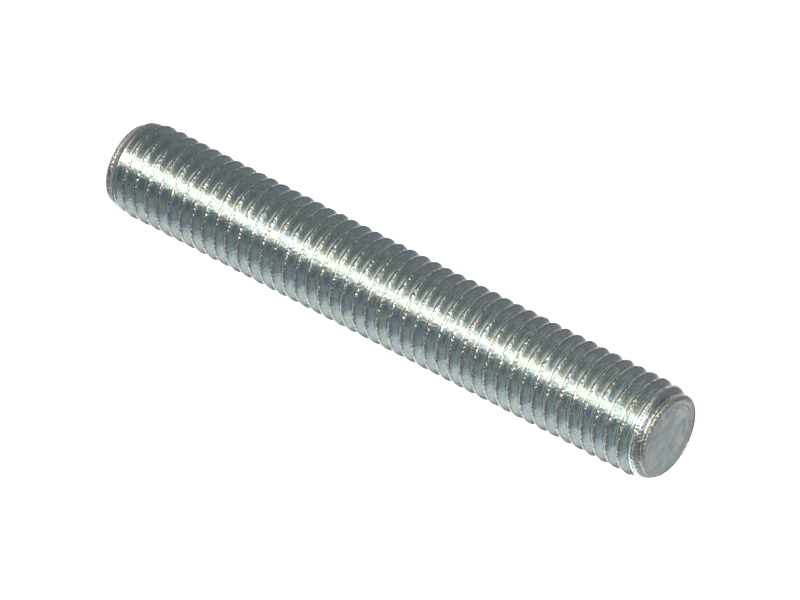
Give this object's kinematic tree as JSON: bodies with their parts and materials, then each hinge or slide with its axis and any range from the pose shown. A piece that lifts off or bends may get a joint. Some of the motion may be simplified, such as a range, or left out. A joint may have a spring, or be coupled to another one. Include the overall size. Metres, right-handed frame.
{
  "type": "threaded rod",
  "caption": "Short steel rod with a right-hand metric thread over its whole length and a tapered lead at each end, for clamping with nuts.",
  "frame": {"origin": "middle of the lower end face, where the rod stands on a surface", "axes": "+Z along the rod's axis, up to the other end face; X and Y across the rod"},
  "size_m": [0.0118, 0.0118, 0.08],
  "materials": {
    "zinc_plated_steel": "bright zinc plating with a clear to bluish passivation over rolled steel"
  },
  "bodies": {
    "root": {"threaded_rod": "zinc_plated_steel"}
  },
  "joints": []
}
